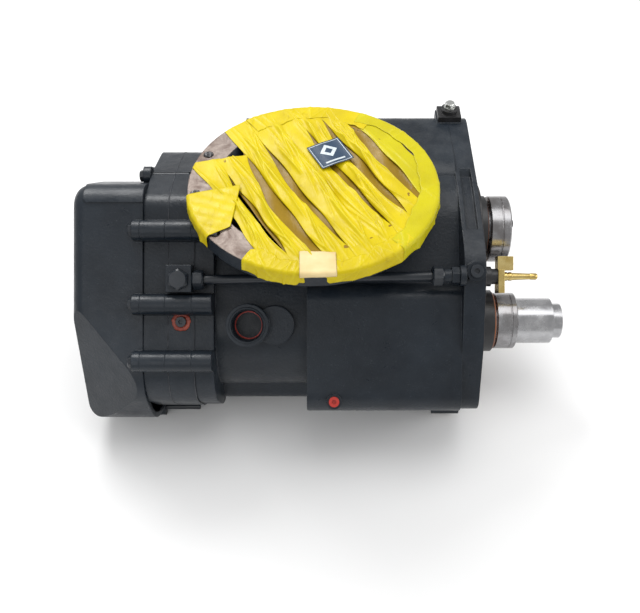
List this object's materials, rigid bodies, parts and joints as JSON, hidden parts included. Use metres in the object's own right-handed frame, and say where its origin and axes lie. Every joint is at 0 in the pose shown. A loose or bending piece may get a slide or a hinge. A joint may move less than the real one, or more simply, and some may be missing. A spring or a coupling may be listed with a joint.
{
  "type": "oil-free twin-screw compressor air end",
  "caption": "Dry twin-screw compressor element with a cast casing, top inlet flange, drive flange with two ground shaft ends, timing-gear cover and meshing helical rotors.",
  "frame": {"origin": "on the axis of the lower, driven rotor at the outer face of the drive flange", "axes": "+X out of the drive end along both rotor axes, +Z out of the inlet flange, +Y to the back of the casing"},
  "size_m": [0.89, 0.5563, 0.4534],
  "materials": {
    "casing_paint": "satin dark blue-grey paint over a sand casting",
    "black_steel": "blackened steel, satin",
    "rotor_steel": "ground",
    "ground_steel": "ground",
    "zinc": "zinc plated",
    "brass": "machined",
    "lip_seal": "matte brown-orange",
    "carbon": "carbon graphite, matte",
    "red_plastic": "moulded",
    "tape": "thin vinyl film",
    "label": "printed film"
  },
  "bodies": {
    "casing": {"banjo_block": "casing_paint", "banjo_bolt": "casing_paint", "bearing_cap_screws": "black_steel", "casing_bolts": "casing_paint", "clamp": "black_steel", "clamp_bolt": "zinc", "clamp_washer": "zinc", "cover_bolts": "casing_paint", "discharge_end_plate": "casing_paint", "dowel_pins": "ground_steel", "female_bearing_cap": "black_steel", "female_discharge_seal": "carbon", "female_drive_seal": "carbon", "female_lip_seal": "lip_seal", "flange_plug": "casing_paint", "inlet_label": "label", "inlet_tape": "tape", "jacket_plug": "casing_paint", "male_bearing_cap": "black_steel", "male_discharge_seal": "carbon", "male_drive_seal": "carbon", "male_lip_seal": "lip_seal", "oil_jet_adapter": "black_steel", "oil_jet_block": "brass", "oil_jet_nozzle": "brass", "oil_pipe": "casing_paint", "oil_pipe_nuts": "casing_paint", "port_seal": "red_plastic", "roller_outer_rings": "ground_steel", "rotor_housing": "casing_paint", "sealed_plug": "casing_paint", "stud_fitting": "casing_paint", "thrust_bearing_housing": "casing_paint", "thrust_outer_rings": "ground_steel", "timing_gear_cover": "casing_paint"},
    "female_shaft": {"female_rotor": "rotor_steel", "drive_sleeve": "ground_steel", "female_timing_gear": "ground_steel", "female_inner_rings": "ground_steel", "female_gear_spacer": "ground_steel", "female_locknut": "ground_steel", "female_end_screw": "black_steel"},
    "male_shaft": {"male_rotor": "rotor_steel", "male_end_collar": "ground_steel", "male_timing_gear": "ground_steel", "male_inner_rings": "ground_steel", "male_gear_spacer": "ground_steel", "male_locknut": "ground_steel", "male_end_plate": "ground_steel", "male_end_screws": "black_steel"},
    "female_drive_rollers_set": {"female_drive_rollers": "ground_steel"},
    "female_rear_rollers_set": {"female_rear_rollers": "ground_steel"},
    "female_thrust_balls_set": {"female_thrust_balls": "ground_steel"},
    "male_drive_rollers_set": {"male_drive_rollers": "ground_steel"},
    "male_rear_rollers_set": {"male_rear_rollers": "ground_steel"},
    "male_thrust_balls_set": {"male_thrust_balls": "ground_steel"}
  },
  "joints": [
    {"name": "female_spin", "type": "hinge", "parent": "casing", "child": "female_shaft", "pos_m": [0, 0, 0], "axis": [1, 0, 0], "continuous": true},
    {"name": "male_spin", "type": "hinge", "parent": "casing", "child": "male_shaft", "pos_m": [0, 0.14013, 0.10483], "axis": [1, 0, 0], "continuous": true},
    {"name": "female_drive_rollers_orbit", "type": "hinge", "parent": "casing", "child": "female_drive_rollers_set", "pos_m": [0, 0, 0], "axis": [1, 0, 0], "continuous": true},
    {"name": "female_rear_rollers_orbit", "type": "hinge", "parent": "casing", "child": "female_rear_rollers_set", "pos_m": [0, 0, 0], "axis": [1, 0, 0], "continuous": true},
    {"name": "female_thrust_balls_orbit", "type": "hinge", "parent": "casing", "child": "female_thrust_balls_set", "pos_m": [0, 0, 0], "axis": [1, 0, 0], "continuous": true},
    {"name": "male_drive_rollers_orbit", "type": "hinge", "parent": "casing", "child": "male_drive_rollers_set", "pos_m": [0, 0.14013, 0.10483], "axis": [1, 0, 0], "continuous": true},
    {"name": "male_rear_rollers_orbit", "type": "hinge", "parent": "casing", "child": "male_rear_rollers_set", "pos_m": [0, 0.14013, 0.10483], "axis": [1, 0, 0], "continuous": true},
    {"name": "male_thrust_balls_orbit", "type": "hinge", "parent": "casing", "child": "male_thrust_balls_set", "pos_m": [0, 0.14013, 0.10483], "axis": [1, 0, 0], "continuous": true}
  ],
  "couplings": [
    {"joint": "male_spin", "follows": "female_spin", "ratio": -1.5},
    {"joint": "female_drive_rollers_orbit", "follows": "female_spin", "ratio": 0.43675},
    {"joint": "female_rear_rollers_orbit", "follows": "female_spin", "ratio": 0.43675},
    {"joint": "female_thrust_balls_orbit", "follows": "female_spin", "ratio": 0.41364},
    {"joint": "male_drive_rollers_orbit", "follows": "female_spin", "ratio": -0.65513},
    {"joint": "male_rear_rollers_orbit", "follows": "female_spin", "ratio": -0.65513},
    {"joint": "male_thrust_balls_orbit", "follows": "female_spin", "ratio": -0.62045}
  ]
}
